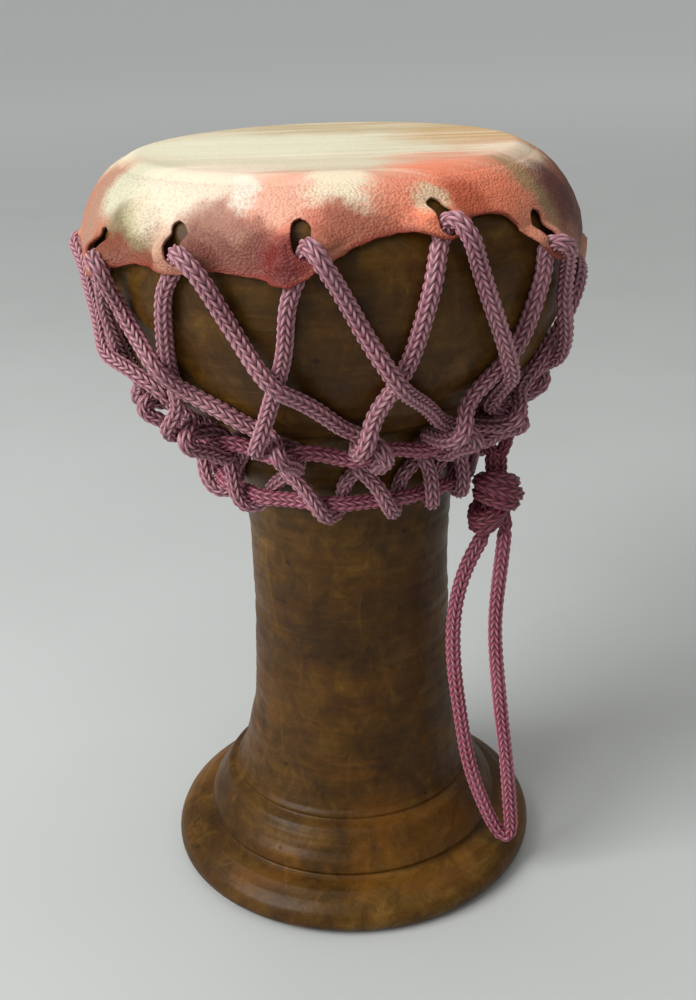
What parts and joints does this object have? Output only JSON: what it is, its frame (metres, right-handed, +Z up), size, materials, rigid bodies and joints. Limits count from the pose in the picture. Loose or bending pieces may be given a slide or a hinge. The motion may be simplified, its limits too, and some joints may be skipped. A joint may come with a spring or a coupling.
{
  "type": "darbuka",
  "caption": "Goblet hand drum: thrown clay shell open at the foot, goatskin head laced over the bowl to cord rings at the neck, with a knotted carrying loop.",
  "frame": {"origin": "centre of the foot ring, on the surface the drum stands on", "axes": "+Z up the drum's axis to the skin, front of the drum towards -Y, +X to its right"},
  "size_m": [0.1684, 0.1678, 0.2503],
  "materials": {
    "fired_clay": "brown fired clay under a thin satin varnish, with throwing lines",
    "goatskin": "dried dyed goatskin, cream, olive and red-orange patches, matt with a faint sheen",
    "knitted_cord": "soft knitted synthetic cord, dusty pink to maroon"
  },
  "bodies": {
    "drum": {"clay_body": "fired_clay", "goatskin_head": "goatskin", "tension_lacing": "knitted_cord", "upper_ring_cord": "knitted_cord", "lower_lacing": "knitted_cord", "neck_ring_cord": "knitted_cord"},
    "tie": {"carry_tie": "knitted_cord"},
    "carry": {"carry_knot": "knitted_cord", "carry_loop": "knitted_cord"}
  },
  "joints": [
    {"name": "tie_swing_out", "type": "hinge", "parent": "drum", "child": "tie", "pos_m": [0.0494, -0.0212, 0.1652], "axis": [-0.4067, -0.9136, 0], "range_deg": [0, 75]},
    {"name": "loop_sway", "type": "hinge", "parent": "tie", "child": "carry", "pos_m": [0.0482, -0.0282, 0.156], "axis": [0.9136, -0.4067, 0], "range_deg": [-11, 27]}
  ]
}
